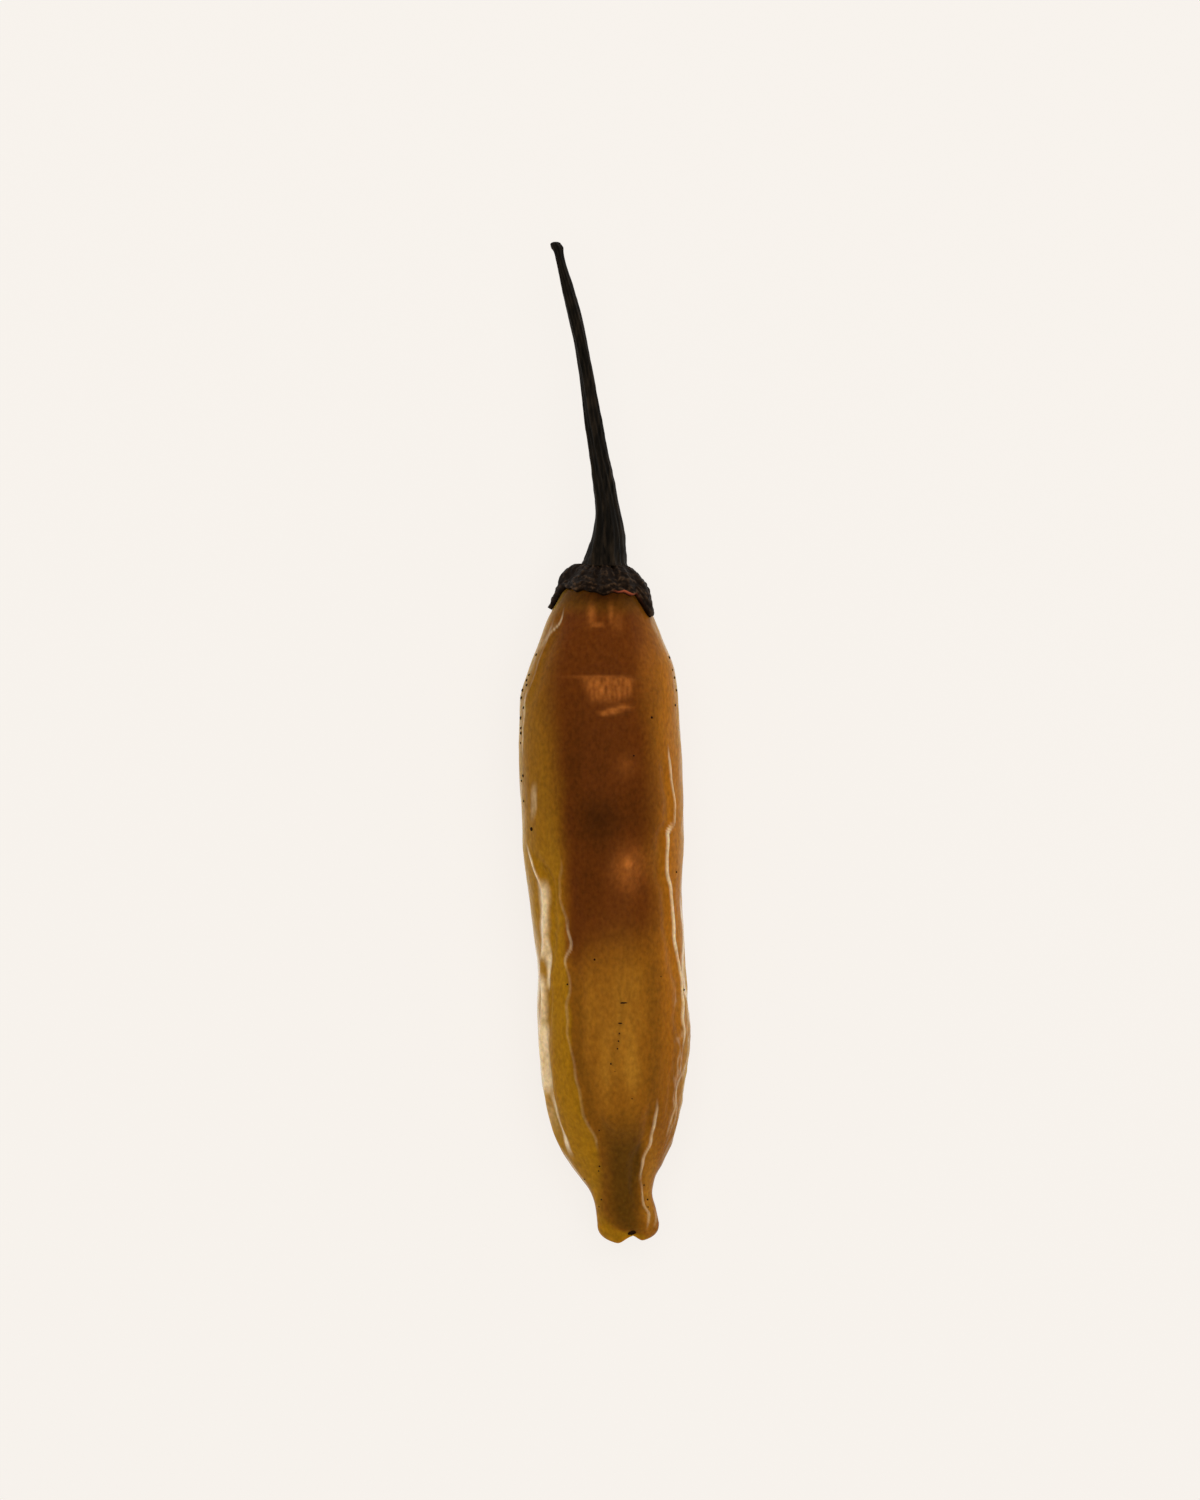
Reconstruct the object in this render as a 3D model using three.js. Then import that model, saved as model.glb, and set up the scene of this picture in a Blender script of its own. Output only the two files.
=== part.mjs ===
// A ripe yellow chilli pepper, as picked, lying on its back: the pod, the calyx that caps it, and the stem.
// Millimetres, +Z up. The pod lies along Y with the stem towards +Y, and rests on a small flat on its underside.
// "along" is the distance from the blossom end, and "turn" is the angle round the pod's axis in degrees:
// 0 on the right, 90 on top, 180 on the left and 270 underneath, seen from above with the stem away.
import * as THREE from "three";

// Driving sizes
const POD_TOP = 67.5; // the pod's hidden top, under the calyx
const SKIN_GAP = 0.15; // between the pod and the calyx, and the calyx and the stem
const CALYX_THICKNESS = 0.6;
const CALYX_FLAT_TOP = 68.2; // where the stem's foot stands
const STEM_END = 100.4;

// The pod's outline from above: along, left edge, right edge, measured from the middle of its width
const POD_OUTLINE = [
  [2.1, -0.5, 5.38],
  [3.6, -0.7, 5.05],
  [5.1, -1.2, 4.7],
  [6.6, -2.3, 5.0],
  [8.1, -3.45, 5.8],
  [9.6, -4.35, 6.5],
  [12.6, -5.25, 7.45],
  [16.0, -6.1, 7.95],
  [21.6, -6.6, 8.4],
  [24.6, -6.8, 8.2],
  [27.6, -6.75, 8.1],
  [33.6, -7.3, 7.9],
  [39.6, -7.9, 8.0],
  [48.6, -8.5, 7.7],
  [54.6, -8.33, 7.4],
  [57.6, -7.55, 7.1],
  [60.6, -6.43, 5.9],
  [62.6, -5.7, 5.1],
  [64.6, -4.6, 4.3],
];

// The pod's side view: along, axis height, rise of the top above the axis, drop of the underside below it
const POD_SIDE = [
  [2.1, 5.4, 2.0, 1.95],
  [3.6, 5.45, 2.45, 2.3],
  [5.1, 5.5, 2.65, 2.5],
  [9.6, 5.9, 4.3, 4.0],
  [14.0, 6.35, 6.1, 5.75],
  [21.6, 6.8, 7.05, 6.9],
  [30.0, 6.95, 6.9, 7.1],
  [42.0, 7.2, 7.45, 7.4],
  [51.6, 7.4, 7.5, 7.6],
  [57.6, 7.55, 6.8, 6.9],
  [64.6, 7.7, 4.2, 4.1],
];

// The axis that the sections are drawn round leans towards the style scar at the tip
const POD_AXIS = [
  [2.1, 2.75],
  [6.6, 1.8],
  [14.0, 0.9],
  [27.6, 0.6],
  [64.6, 0.0],
];

// The blossom end: blunt lobes round a small pit that holds the style scar
const TIP_RING = 2.1; // along, at the widest section of the blossom end
const TIP_PIT = 0.95; // how far beyond that section the bottom of the pit lies
const TIP_CLEFT = 1.2; // how far beyond it the clefts between the lobes reach
const TIP_POWER = 2.6; // the lobes are squarer than an ellipse, which has a power of 2
const TIP_LOBE_SWELL = 0.07; // of the section's radius

// Each lobe's turn, half-width in degrees and reach beyond the clefts
const TIP_LOBES = [
  [158, 55, 0.88],
  [18, 48, 0.58],
  [275, 40, 0.12],
];

// The shoulder's rounding under the calyx is part of an oval, squarer than an ellipse, which has a power of 2
const SHOULDER = 64.6;
const SHOULDER_CENTRE = 63.6;
const SHOULDER_POWER = 2.05;

// Creases that run down the pod: along and turn at a few places, the depth, the half-width, and how far
// from its ends each one fades in
const CREASES = [
  { at: [[2, 82], [4, 57], [7, 50], [11, 50], [14.5, 48]], depth: 0.5, width: 0.75, fade: 2.5 },
  { at: [[8.5, 104], [12, 113], [19, 123], [25, 129], [31, 125], [38, 121]], depth: 0.6, width: 0.85, fade: 4 },
  { at: [[9, 168], [14, 164], [19, 158], [27, 151], [36, 145], [42, 156]], depth: 0.5, width: 0.9, fade: 4 },
  { at: [[17, 8], [24, 20], [29, 28], [35, 32], [40, 31], [45, 26], [50, 34]], depth: 0.5, width: 0.8, fade: 4 },
  { at: [[45, 168], [54, 158], [60, 147], [64, 134]], depth: 0.28, width: 1.1, fade: 4 },
  { at: [[2, 205], [10, 202], [24, 196], [38, 203], [52, 199]], depth: 0.55, width: 0.9, fade: 3 },
  { at: [[20, 228], [34, 236], [48, 230], [61, 236]], depth: 0.35, width: 1.0, fade: 5 },
  { at: [[10, 306], [22, 311], [36, 304], [50, 309]], depth: 0.4, width: 0.95, fade: 4 },
  { at: [[2, 325], [12, 336], [26, 343], [42, 337], [58, 346]], depth: 0.5, width: 0.85, fade: 3 },
];

// Shallow dents and swellings: along, turn, half-length, half-width, height
const DENTS = [
  [56.9, 88, 0.8, 4.2, -0.28],
  [53.4, 80, 0.9, 3.0, -0.32],
  [62.6, 97, 1.7, 1.3, 0.32],
  [63.0, 66, 1.6, 1.2, 0.2],
  [48.6, 74, 1.6, 2.2, -0.25],
  [37.6, 66, 2.2, 2.0, -0.3],
  [45.0, 105, 5.0, 3.0, 0.22],
  [33.0, 98, 4.5, 3.2, -0.2],
  [26.0, 170, 2.6, 2.6, -0.2],
  [39.0, 180, 2.2, 2.2, 0.2],
  [36.0, 2, 2.8, 2.5, -0.2],
  [20.0, 0, 3.5, 3.0, 0.15],
  [52.0, 216, 4.0, 2.6, 0.25],
  [18.0, 262, 3.5, 3.0, 0.2],
  [44.0, 322, 4.5, 2.5, 0.25],
];

// The calyx's edge: where it lies between the teeth, and each tooth's turn, half-width in degrees and reach
const CALYX_EDGE = 65.25;
const CALYX_TEETH = [
  [23, 14, 2.4],
  [68, 15, 0.3],
  [118, 14, 0.15],
  [178, 13, 1.6],
  [234, 13, 2.1],
  [303, 14, 1.9],
];
const CALYX_RIB = 0.2; // how far the rib that ends in each tooth stands out

// The stem: along, left edge, right edge, height of its middle
const STEM_OUTLINE = [
  [68.35, -2.15, 2.12, 7.75],
  [69.6, -1.68, 2.05, 7.85],
  [71.2, -1.15, 1.92, 8.0],
  [73.6, -0.85, 1.47, 8.2],
  [76.6, -1.13, 0.94, 8.4],
  [79.6, -1.5, 0.3, 8.5],
  [82.6, -1.95, -0.2, 8.6],
  [86.4, -2.37, -0.94, 8.6],
  [89.8, -2.87, -1.62, 8.5],
  [92.4, -3.45, -2.14, 8.35],
  [95.8, -4.25, -3.08, 8.1],
  [98.4, -4.78, -3.88, 7.85],
  [99.4, -5.02, -4.06, 7.75],
  [99.8, -5.28, -4.08, 7.7],
  [100.15, -5.36, -4.3, 7.68],
];
const STEM_RIBS = 5;
const STEM_RIB = 0.07; // of the stem's radius

// Mesh steps
const POD_SIDES = 76;
const CALYX_SIDES = 76;
const STEM_SIDES = 20;

const radians = THREE.MathUtils.degToRad;
const bell = (x) => Math.exp(-x * x);

// A smooth curve through rows of [place, value, value, ...] that never overshoots them.
function smoothRows(rows) {
  const last = rows.length - 1;
  const rate = (i, k) => (rows[i + 1][k] - rows[i][k]) / (rows[i + 1][0] - rows[i][0]);
  const slope = (i, k) => {
    if (i === 0) return rate(0, k);
    if (i === last) return rate(last - 1, k);
    const [before, after] = [rate(i - 1, k), rate(i, k)];
    return before * after <= 0 ? 0 : (2 * before * after) / (before + after);
  };
  return (place) => {
    let i = 0;
    while (i < last - 1 && place > rows[i + 1][0]) i++;
    const span = rows[i + 1][0] - rows[i][0];
    const s = THREE.MathUtils.clamp((place - rows[i][0]) / span, 0, 1);
    return rows[i].slice(1).map((value, column) => {
      const k = column + 1;
      return (
        value * (1 + 2 * s) * (1 - s) ** 2 +
        rows[i + 1][k] * s * s * (3 - 2 * s) +
        span * s * (1 - s) * (slope(i, k) * (1 - s) - slope(i + 1, k) * s)
      );
    });
  };
}

const podOutline = smoothRows(POD_OUTLINE);
const podSide = smoothRows(POD_SIDE);
const podAxis = smoothRows(POD_AXIS);
const creases = CREASES.map((crease) => ({ ...crease, turnAt: smoothRows(crease.at) }));

// The shorter way round from one turn to another, in degrees
const turnBetween = (a, b) => ((((a - b) % 360) + 540) % 360) - 180;

// How far the creases and dents move the skin out, in mm, at a place on a section of this mean radius
function relief(turn, along, radius) {
  let height = 0;
  for (const { at, depth, width, fade, turnAt } of creases) {
    const [start, end] = [at[0][0], at[at.length - 1][0]];
    if (along < start || along > end) continue;
    const ends = Math.min(along - start, end - along);
    const across = radians(turnBetween(turn, turnAt(along)[0])) * radius;
    height -= depth * THREE.MathUtils.smoothstep(ends, 0, fade) * bell(across / width);
  }
  for (const [place, middle, length, width, rise] of DENTS) {
    const across = radians(turnBetween(turn, middle)) * radius;
    height += rise * bell((along - place) / length) * bell(across / width);
  }
  return height;
}

// How strongly the blossom end's lobes stand out at a turn, from 0 to 1, and how far they reach
const tipLobe = (turn) => Math.max(...TIP_LOBES.map(([middle, width]) => bell(turnBetween(turn, middle) / width)));
const tipReach = (turn) =>
  Math.max(...TIP_LOBES.map(([middle, width, reach]) => reach * bell(turnBetween(turn, middle) / width)));

// A point of the pod's skin. share draws the section in towards its axis.
function podPoint(turn, along, share = 1) {
  const place = Math.min(along, SHOULDER);
  const [left, right] = podOutline(place);
  const [height, rise, drop] = podSide(place);
  const [axis] = podAxis(place);
  const c = Math.cos(radians(turn));
  const s = Math.sin(radians(turn));
  const wide = c > 0 ? right - axis : axis - left;
  const high = s > 0 ? rise : drop;
  const lobed = TIP_LOBE_SWELL * (2 * tipLobe(turn) - 1) * (1 - THREE.MathUtils.smoothstep(along, 3, 9));
  const swell = 1 + lobed + relief(turn, along, (wide + high) / 2) / Math.hypot(wide * c, high * s);
  const x = axis + share * swell * wide * c;
  const z = height + share * swell * high * s;
  return new THREE.Vector3(x, along, Math.max(z, 0)); // the underside is flat where it rests
}

// The pod's rounded top, above the last row of its outline
function shoulderPoint(turn, along) {
  const full = POD_TOP - SHOULDER_CENTRE;
  const risen = (place) => ((place - SHOULDER_CENTRE) / full) ** SHOULDER_POWER;
  const reach = (place) => Math.max(0, 1 - risen(place)) ** (1 / SHOULDER_POWER);
  return podPoint(turn, along, along > SHOULDER ? reach(along) / reach(SHOULDER) : 1);
}

// The blossom end closes over the lobes into the pit; share is 1 at its widest section and 0 at the scar.
function tipPoint(turn, share) {
  const outer = THREE.MathUtils.smoothstep(share, 0, 0.45);
  const deepest = TIP_PIT + outer * (TIP_CLEFT - TIP_PIT + tipReach(turn));
  const point = podPoint(turn, TIP_RING, share);
  point.y = TIP_RING - deepest * (1 - share ** TIP_POWER) ** (1 / TIP_POWER);
  return point;
}

// A closed skin from rings of points between two poles. The rings run from one pole to the other.
function skin(pole, rings, lastPole) {
  const sides = rings[0].length;
  const points = [pole, ...rings.flat(), lastPole];
  const at = (ring, side) => 1 + ring * sides + (side % sides);
  const faces = [];
  for (let side = 0; side < sides; side++) {
    faces.push(0, at(0, side), at(0, side + 1));
    for (let ring = 0; ring < rings.length - 1; ring++) {
      faces.push(at(ring, side), at(ring + 1, side), at(ring, side + 1));
      faces.push(at(ring + 1, side), at(ring + 1, side + 1), at(ring, side + 1));
    }
    faces.push(points.length - 1, at(rings.length - 1, side + 1), at(rings.length - 1, side));
  }
  const geometry = new THREE.BufferGeometry().setFromPoints(points);
  geometry.setIndex(faces);
  geometry.computeVertexNormals();
  return geometry;
}

const ring = (sides, pointAt) => Array.from({ length: sides }, (_, side) => pointAt((360 * side) / sides));
const steps = (from, to, count) => Array.from({ length: count }, (_, i) => from + ((to - from) * i) / (count - 1));

function podSkin() {
  const tipShares = [0.16, 0.32, 0.48, 0.63, 0.77, 0.88, 0.95, 0.985];
  const places = [
    ...steps(TIP_RING, 9, 8),
    ...steps(10.4, 61, 29),
    ...steps(62.2, SHOULDER, 3),
    65.6,
    66.4,
    67.0,
    67.3,
  ];
  const rings = [
    ...tipShares.map((share) => ring(POD_SIDES, (turn) => tipPoint(turn, share))),
    ...places.map((along) => ring(POD_SIDES, (turn) => shoulderPoint(turn, along))),
  ];
  return skin(tipPoint(0, 0), rings, shoulderPoint(0, POD_TOP));
}

// The skin's outward direction on the shoulder, from two short steps along it
function shoulderNormal(turn, along) {
  const here = shoulderPoint(turn, along);
  const round = shoulderPoint(turn + 1, along).sub(here);
  const down = shoulderPoint(turn, along - 0.05).sub(here);
  return round.cross(down).normalize();
}

// How far along the calyx's edge lies at a turn: teeth reach down the pod from it, with hollows between.
function calyxEdge(turn) {
  const reach = CALYX_TEETH.map(([middle, width, length]) => length * bell(turnBetween(turn, middle) / width));
  return CALYX_EDGE - Math.max(...reach) + 0.12 * Math.sin(radians(7 * turn + 40));
}

function calyxSkin() {
  const nearTop = 0.965;
  const placeAt = (turn, share) => {
    const edge = calyxEdge(turn);
    return edge + (POD_TOP - edge) * share;
  };
  const cover = (turn, share, thickness) => {
    const along = placeAt(turn, share);
    const out = shoulderNormal(turn, along).multiplyScalar(SKIN_GAP + thickness);
    const point = shoulderPoint(turn, along).add(out);
    point.y = thickness > 0 ? Math.min(point.y, CALYX_FLAT_TOP) : point.y;
    return point;
  };
  const outside = (turn, share) => {
    const rib = Math.max(...CALYX_TEETH.map(([middle, width]) => bell((1.6 * turnBetween(turn, middle)) / width)));
    const body = 0.5 + 0.5 * THREE.MathUtils.smoothstep(share, -0.1, 0.3);
    const collar = 0.2 * THREE.MathUtils.smoothstep(share, 0.4, 0.85);
    const ribShare = Math.max(0, share * (1 - share) * 3);
    const crinkle = 0.06 * Math.sin(radians(23 * turn)) * (1 - share);
    return cover(turn, share, CALYX_THICKNESS * body + collar + CALYX_RIB * rib * ribShare + crinkle);
  };
  const rings = [
    ...[0.9, 0.75, 0.5, 0.25, 0].map((share) => ring(CALYX_SIDES, (turn) => cover(turn, share, 0))),
    ...[0, 0.1, 0.2, 0.32, 0.45, 0.58, 0.7, 0.8, 0.88, 0.94, nearTop].map((share) =>
      ring(CALYX_SIDES, (turn) => outside(turn, share)),
    ),
  ];
  const top = podPoint(0, POD_TOP, 0);
  const inner = top.clone().setY(POD_TOP + SKIN_GAP);
  const outer = top.clone().setY(CALYX_FLAT_TOP);
  return skin(inner, rings, outer);
}

function stemSkin() {
  const outline = smoothRows(STEM_OUTLINE);
  const first = STEM_OUTLINE[0][0];
  const lastRow = STEM_OUTLINE[STEM_OUTLINE.length - 1][0];
  const section = (along, share) => {
    const [left, right, height] = outline(along);
    const [middle, radius] = [(left + right) / 2, (right - left) / 2];
    return ring(STEM_SIDES, (turn) => {
      const reach = share * radius * (1 + STEM_RIB * Math.cos(STEM_RIBS * radians(turn - 3 * along)));
      return new THREE.Vector3(
        middle + reach * Math.cos(radians(turn)),
        along,
        height + reach * Math.sin(radians(turn)),
      );
    });
  };
  const places = [...steps(first, 73.6, 9), ...steps(74.8, 98.2, 17), ...steps(98.8, lastRow, 6)];
  const rings = [
    section(first, 0.5),
    ...places.map((along) => section(along, 1)),
    section(lastRow, 0.6).map((p) => p.setY(STEM_END - 0.05)),
  ];
  const centre = (along, y) => {
    const [left, right, height] = outline(along);
    return new THREE.Vector3((left + right) / 2, y, height);
  };
  return skin(centre(first, first), rings, centre(lastRow, STEM_END));
}

const material = (color, roughness) => new THREE.MeshStandardMaterial({ color, roughness, metalness: 0 });
const podMaterial = material(0x8a5416, 0.32);
const calyxMaterial = material(0x2a1e15, 0.8);
const stemMaterial = material(0x241b13, 0.75);

function piece(name, geometry, finish) {
  const mesh = new THREE.Mesh(geometry, finish);
  mesh.name = name;
  return mesh;
}

const fruit = new THREE.Group();
fruit.add(
  piece("pod", podSkin(), podMaterial),
  piece("calyx", calyxSkin(), calyxMaterial),
  piece("stem", stemSkin(), stemMaterial),
);

// The origin is under the middle of the whole chilli, on the surface that it lies on.
const box = new THREE.Box3().setFromObject(fruit);
fruit.position.set(-(box.min.x + box.max.x) / 2, -(box.min.y + box.max.y) / 2, -box.min.z);

const chilli = new THREE.Group();
chilli.add(fruit);
export default chilli;
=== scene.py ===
"""A ripe golden chilli pepper with a dried calyx and stem, lying on a plain pale surface.

The pod, the calyx and the stem are each made again here with a finer skin than the CAD solids have, on
the same outlines. Sizes are in millimetres in the fruit's own measure: "x" is to the right of its middle
line, "along" is the distance from the blossom end towards the stem, and "turn" is the angle round the
pod in degrees, 0 on the right, 90 on top, 180 on the left and 270 underneath.
"""

import bmesh
import bpy
import numpy as np
from mathutils import Matrix, Vector, noise


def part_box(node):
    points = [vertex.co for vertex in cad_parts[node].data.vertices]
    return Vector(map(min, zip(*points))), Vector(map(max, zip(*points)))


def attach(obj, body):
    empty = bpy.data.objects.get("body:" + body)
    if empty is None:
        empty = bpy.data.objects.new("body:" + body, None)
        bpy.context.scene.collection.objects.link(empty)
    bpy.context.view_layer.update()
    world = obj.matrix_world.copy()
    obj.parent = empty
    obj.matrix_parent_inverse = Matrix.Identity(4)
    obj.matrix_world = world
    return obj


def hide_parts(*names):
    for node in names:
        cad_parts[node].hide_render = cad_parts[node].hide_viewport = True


MM = 0.001

# The fruit's sizes and outlines, which are the CAD's
POD_TOP = 67.5
CALYX_TOP = 68.2
STEM_END = 100.4

POD_OUTLINE = [
    (2.1, -0.5, 5.38),
    (3.6, -0.7, 5.05),
    (5.1, -1.2, 4.7),
    (6.6, -2.3, 5.0),
    (8.1, -3.45, 5.8),
    (9.6, -4.35, 6.5),
    (12.6, -5.25, 7.45),
    (16.0, -6.1, 7.95),
    (21.6, -6.6, 8.4),
    (24.6, -6.8, 8.2),
    (27.6, -6.75, 8.1),
    (33.6, -7.3, 7.9),
    (39.6, -7.9, 8.0),
    (48.6, -8.5, 7.7),
    (54.6, -8.33, 7.4),
    (57.6, -7.55, 7.1),
    (60.6, -6.43, 5.9),
    (62.6, -5.7, 5.1),
    (64.6, -4.6, 4.3),
]  # along, left edge, right edge
POD_SIDE = [
    (2.1, 5.4, 2.0, 1.95),
    (3.6, 5.45, 2.45, 2.3),
    (5.1, 5.5, 2.65, 2.5),
    (9.6, 5.9, 4.3, 4.0),
    (14.0, 6.35, 6.1, 5.75),
    (21.6, 6.8, 7.05, 6.9),
    (30.0, 6.95, 6.9, 7.1),
    (42.0, 7.2, 7.45, 7.4),
    (51.6, 7.4, 7.5, 7.6),
    (57.6, 7.55, 6.8, 6.9),
    (64.6, 7.7, 4.2, 4.1),
]  # along, axis height, rise above it, drop below it
POD_AXIS = [(2.1, 2.75), (6.6, 1.8), (14.0, 0.9), (27.6, 0.6), (64.6, 0.0)]  # along, x

# The blossom end, which closes beyond the outline's first row
TIP_RING = 2.1
TIP_PIT = 0.95  # how far past that row its pit reaches
TIP_CLEFT = 1.2  # how far the cleft between its lobes reaches
TIP_POWER = 2.6  # how square it is from above
TIP_ROUNDER = 0.8  # how much rounder it is above and below than at its sides
TIP_LOBE_SWELL = 0.07  # how much wider it is at its lobes, and narrower between them
TIP_LOBES = [(158, 55, 0.88), (18, 48, 0.58), (275, 40, 0.12)]  # turn, half-width in degrees, reach
TIP_PIT_LIFT = 1.1  # the pit opens towards the top
SHOULDER = 64.6  # from here the pod closes under the calyx
SHOULDER_CENTRE = 63.6
SHOULDER_POWER = 2.05

# Creases on the sides and underneath: places as (along, turn), depth, half-width, how far from its ends
# it fades in, the height of the fold of skin beside it, and the side of it, 1 for the greater turn
CREASES = [
    ([(2, 205), (10, 202), (24, 196), (38, 203), (52, 199)], 0.55, 0.7, 3, 0.15, 1),
    ([(20, 228), (34, 236), (48, 230), (61, 236)], 0.35, 0.8, 5, 0.1, 1),
    ([(10, 306), (22, 311), (36, 304), (50, 309)], 0.4, 0.75, 4, 0.15, -1),
    ([(2, 325), (12, 336), (26, 343), (42, 337), (58, 346)], 0.5, 0.65, 3, 0.15, -1),
]
CREASE_LIP = 1.7  # how many half-widths beside a crease its fold lies

# Folds on the upper side: places as (along, x), crest height and half-width, depth and half-width of the
# groove on the crest's inner side, and how far from its ends it fades in
LEFT_FOLD = [
    (9.6, -0.4),
    (11.6, -1.1),
    (13.6, -1.9),
    (16.6, -2.6),
    (19.6, -3.1),
    (21.6, -3.6),
    (23.6, -3.7),
    (26.6, -3.4),
    (28.6, -3.9),
    (30.1, -3.4),
    (35.6, -4.3),
    (39.0, -4.2),
]
LEFT_RIDGE = [
    (9.0, -4.0),
    (12.0, -4.9),
    (16.0, -5.7),
    (21.0, -6.15),
    (24.6, -6.1),
    (27.0, -6.2),
    (31.0, -5.75),
    (35.0, -5.9),
    (36.6, -6.15),
    (38.3, -6.9),
    (40.3, -7.6),
]
RIGHT_FOLD = [
    (20.0, 7.8),
    (23.6, 7.8),
    (26.1, 7.65),
    (28.6, 7.3),
    (32.1, 6.9),
    (35.6, 6.7),
    (37.6, 6.3),
    (41.1, 6.3),
    (42.6, 7.0),
    (44.6, 6.9),
    (50.0, 6.3),
]
TIP_FOLD = [(1.6, 4.2), (3.1, 4.4), (4.1, 3.95), (6.6, 3.6), (8.6, 3.9), (11.1, 4.8), (15.0, 5.3)]
SHOULDER_FOLD = [(53.0, -8.1), (58.6, -6.3), (61.6, -5.1), (64.0, -4.5)]
FOLDS = [
    (LEFT_FOLD, 0.06, 0.12, 0.26, 0.9, 3.0),
    (LEFT_RIDGE, 0.34, 0.42, 0.3, 0.7, 3.0),
    (RIGHT_FOLD, 0.15, 0.16, 0.28, 0.8, 3.0),
    (TIP_FOLD, 0.12, 0.13, 0.3, 0.6, 2.0),
    (SHOULDER_FOLD, 0.1, 0.3, 0.12, 0.8, 2.5),
]
FOLD_GROOVE = 1.3  # how many of its half-widths inside the crest a groove lies
FOLD_WANDER = 0.28  # how far folds and lines stray from their places
CREASE_WANDER = 1.5  # how many times as far creases stray

# Dents and swellings: along, turn, half-length, half-width, height
DENTS = [
    (56.9, 88, 0.8, 4.2, -0.28),
    (53.4, 80, 0.9, 3.0, -0.32),
    (62.6, 97, 1.7, 1.3, 0.32),
    (63.0, 66, 1.6, 1.2, 0.2),
    (48.6, 74, 1.6, 2.2, -0.25),
    (37.6, 66, 2.2, 2.0, -0.3),
    (45.0, 105, 5.0, 3.0, 0.22),
    (33.0, 98, 4.5, 3.2, -0.2),
    (26.0, 170, 2.6, 2.6, -0.2),
    (39.0, 180, 2.2, 2.2, 0.2),
    (36.0, 2, 2.8, 2.5, -0.2),
    (20.0, 0, 3.5, 3.0, 0.15),
    (52.0, 216, 4.0, 2.6, 0.25),
    (18.0, 262, 3.5, 3.0, 0.2),
    (44.0, 322, 4.5, 2.5, 0.25),
]

# Lumps on the skin, apart from its two ends: height, width, stretch, seed of the noise
SKIN_LUMPS = [(0.14, 5.0, (1, 2.2, 1), 2), (0.06, 1.9, (1, 1.6, 1), 3)]

# The calyx
CALYX_EDGE = 65.25
CALYX_INSIDE = 0.9  # how much of the way from its edge to the pod's top its inside goes up
CALYX_OUTSIDE = 0.985  # and its outside
CALYX_TEETH = [
    (26, 13, 2.4),
    (54, 14, 0.45),
    (94, 14, 0.25),
    (180, 11, 1.6),
    (234, 13, 2.1),
    (303, 14, 1.9),
]  # turn, half-width in degrees, reach
CALYX_THICKNESS = 0.62
CALYX_COLLAR = 0.25  # how much thicker it is round the stem
CALYX_RIB = 0.2  # how far the rib that ends in each tooth stands out
CALYX_GROOVES = [
    (100, 5, 0.25),
    (70, 5, 0.22),
    (20, 7, 0.1),
    (150, 7, 0.12),
    (205, 6, 0.18),
    (270, 6, 0.18),
    (335, 6, 0.15),
]  # turn, half-width in degrees, depth
CALYX_LIFT = (146, 17, 0.4)  # where its edge is higher: turn, half-width in degrees, height
CALYX_LEFT = (172, 32)  # its left side, which dips and is thicker above: turn, half-width
CALYX_RED_HIGHLIGHT = (61, 12)  # the turn and half-width of a reddish painted highlight along its edge
CALYX_TUCK = 0.02  # its inside lies this far off the pod

# The stem, whose first row reaches into the calyx
STEM_OUTLINE = [
    (67.9, -2.35, 2.3, 7.72),
    (68.35, -2.15, 2.12, 7.75),
    (69.6, -1.68, 2.05, 7.85),
    (71.2, -1.15, 1.92, 8.0),
    (73.6, -0.85, 1.47, 8.2),
    (76.6, -1.13, 0.94, 8.4),
    (79.6, -1.5, 0.3, 8.5),
    (82.6, -1.95, -0.2, 8.6),
    (86.4, -2.37, -0.94, 8.6),
    (89.8, -2.87, -1.62, 8.5),
    (92.4, -3.45, -2.14, 8.35),
    (95.8, -4.25, -3.08, 8.1),
    (98.4, -4.78, -3.88, 7.85),
    (99.4, -5.02, -4.06, 7.75),
    (99.8, -5.28, -4.08, 7.7),
    (100.15, -5.36, -4.3, 7.68),
]  # along, left edge, right edge, height of its middle
STEM_TWIST = 3  # degrees for each mm along it
STEM_RIBS = 5
STEM_RIB = 0.07  # of the stem's radius
STEM_ENDING = [(0.85, 0.12), (0.5, 0.22)]  # rings of its cut end: share of the radius, rise
STEM_END_RISE = 0.25  # how far the middle of the cut end rises

# Mesh steps
UPPER_TURNS = (-15, 195)  # the turns between which the pod's mesh is finer
POD_TURNS_ABOVE = 280
POD_TURNS_BELOW = 58
POD_TIP_RINGS = 30
POD_RINGS = 250
POD_TOP_RINGS = 12
CALYX_SIDES = 300
CALYX_INNER_RINGS = 12
CALYX_RINGS = 70
STEM_SIDES = 90
STEM_RINGS = 260

# View and light
PHOTO_HEIGHT = 1500
PIXEL = 0.1  # mm
PHOTO_MIDDLE_X = -0.4  # where the picture's middle is on the fruit
PHOTO_MIDDLE_ALONG = 49.6
LENS = 100
SENSOR = 36
SCALE_HEIGHT = 7.5  # mm above the surface, where a picture pixel is as wide as PIXEL says
SURROUND = (0.94, 0.901, 0.857)
SURROUND_FADE = (0.1, 0.6)  # between these upward parts of a direction it darkens
SURROUND_OVERHEAD = 0.25
FLOOR_HALF = 6.0  # m
FLOOR_COLOUR = (0.12, 0.115, 0.108)
FLOOR_GLOW = 0.89
LIGHT_PLACE = (0.05, 0.1, 0.6)  # m
LIGHT_SIZE = 0.6  # m
LIGHT_POWER = 2.4  # W
LIGHT_COLOUR = (1, 0.97, 0.93)


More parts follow.
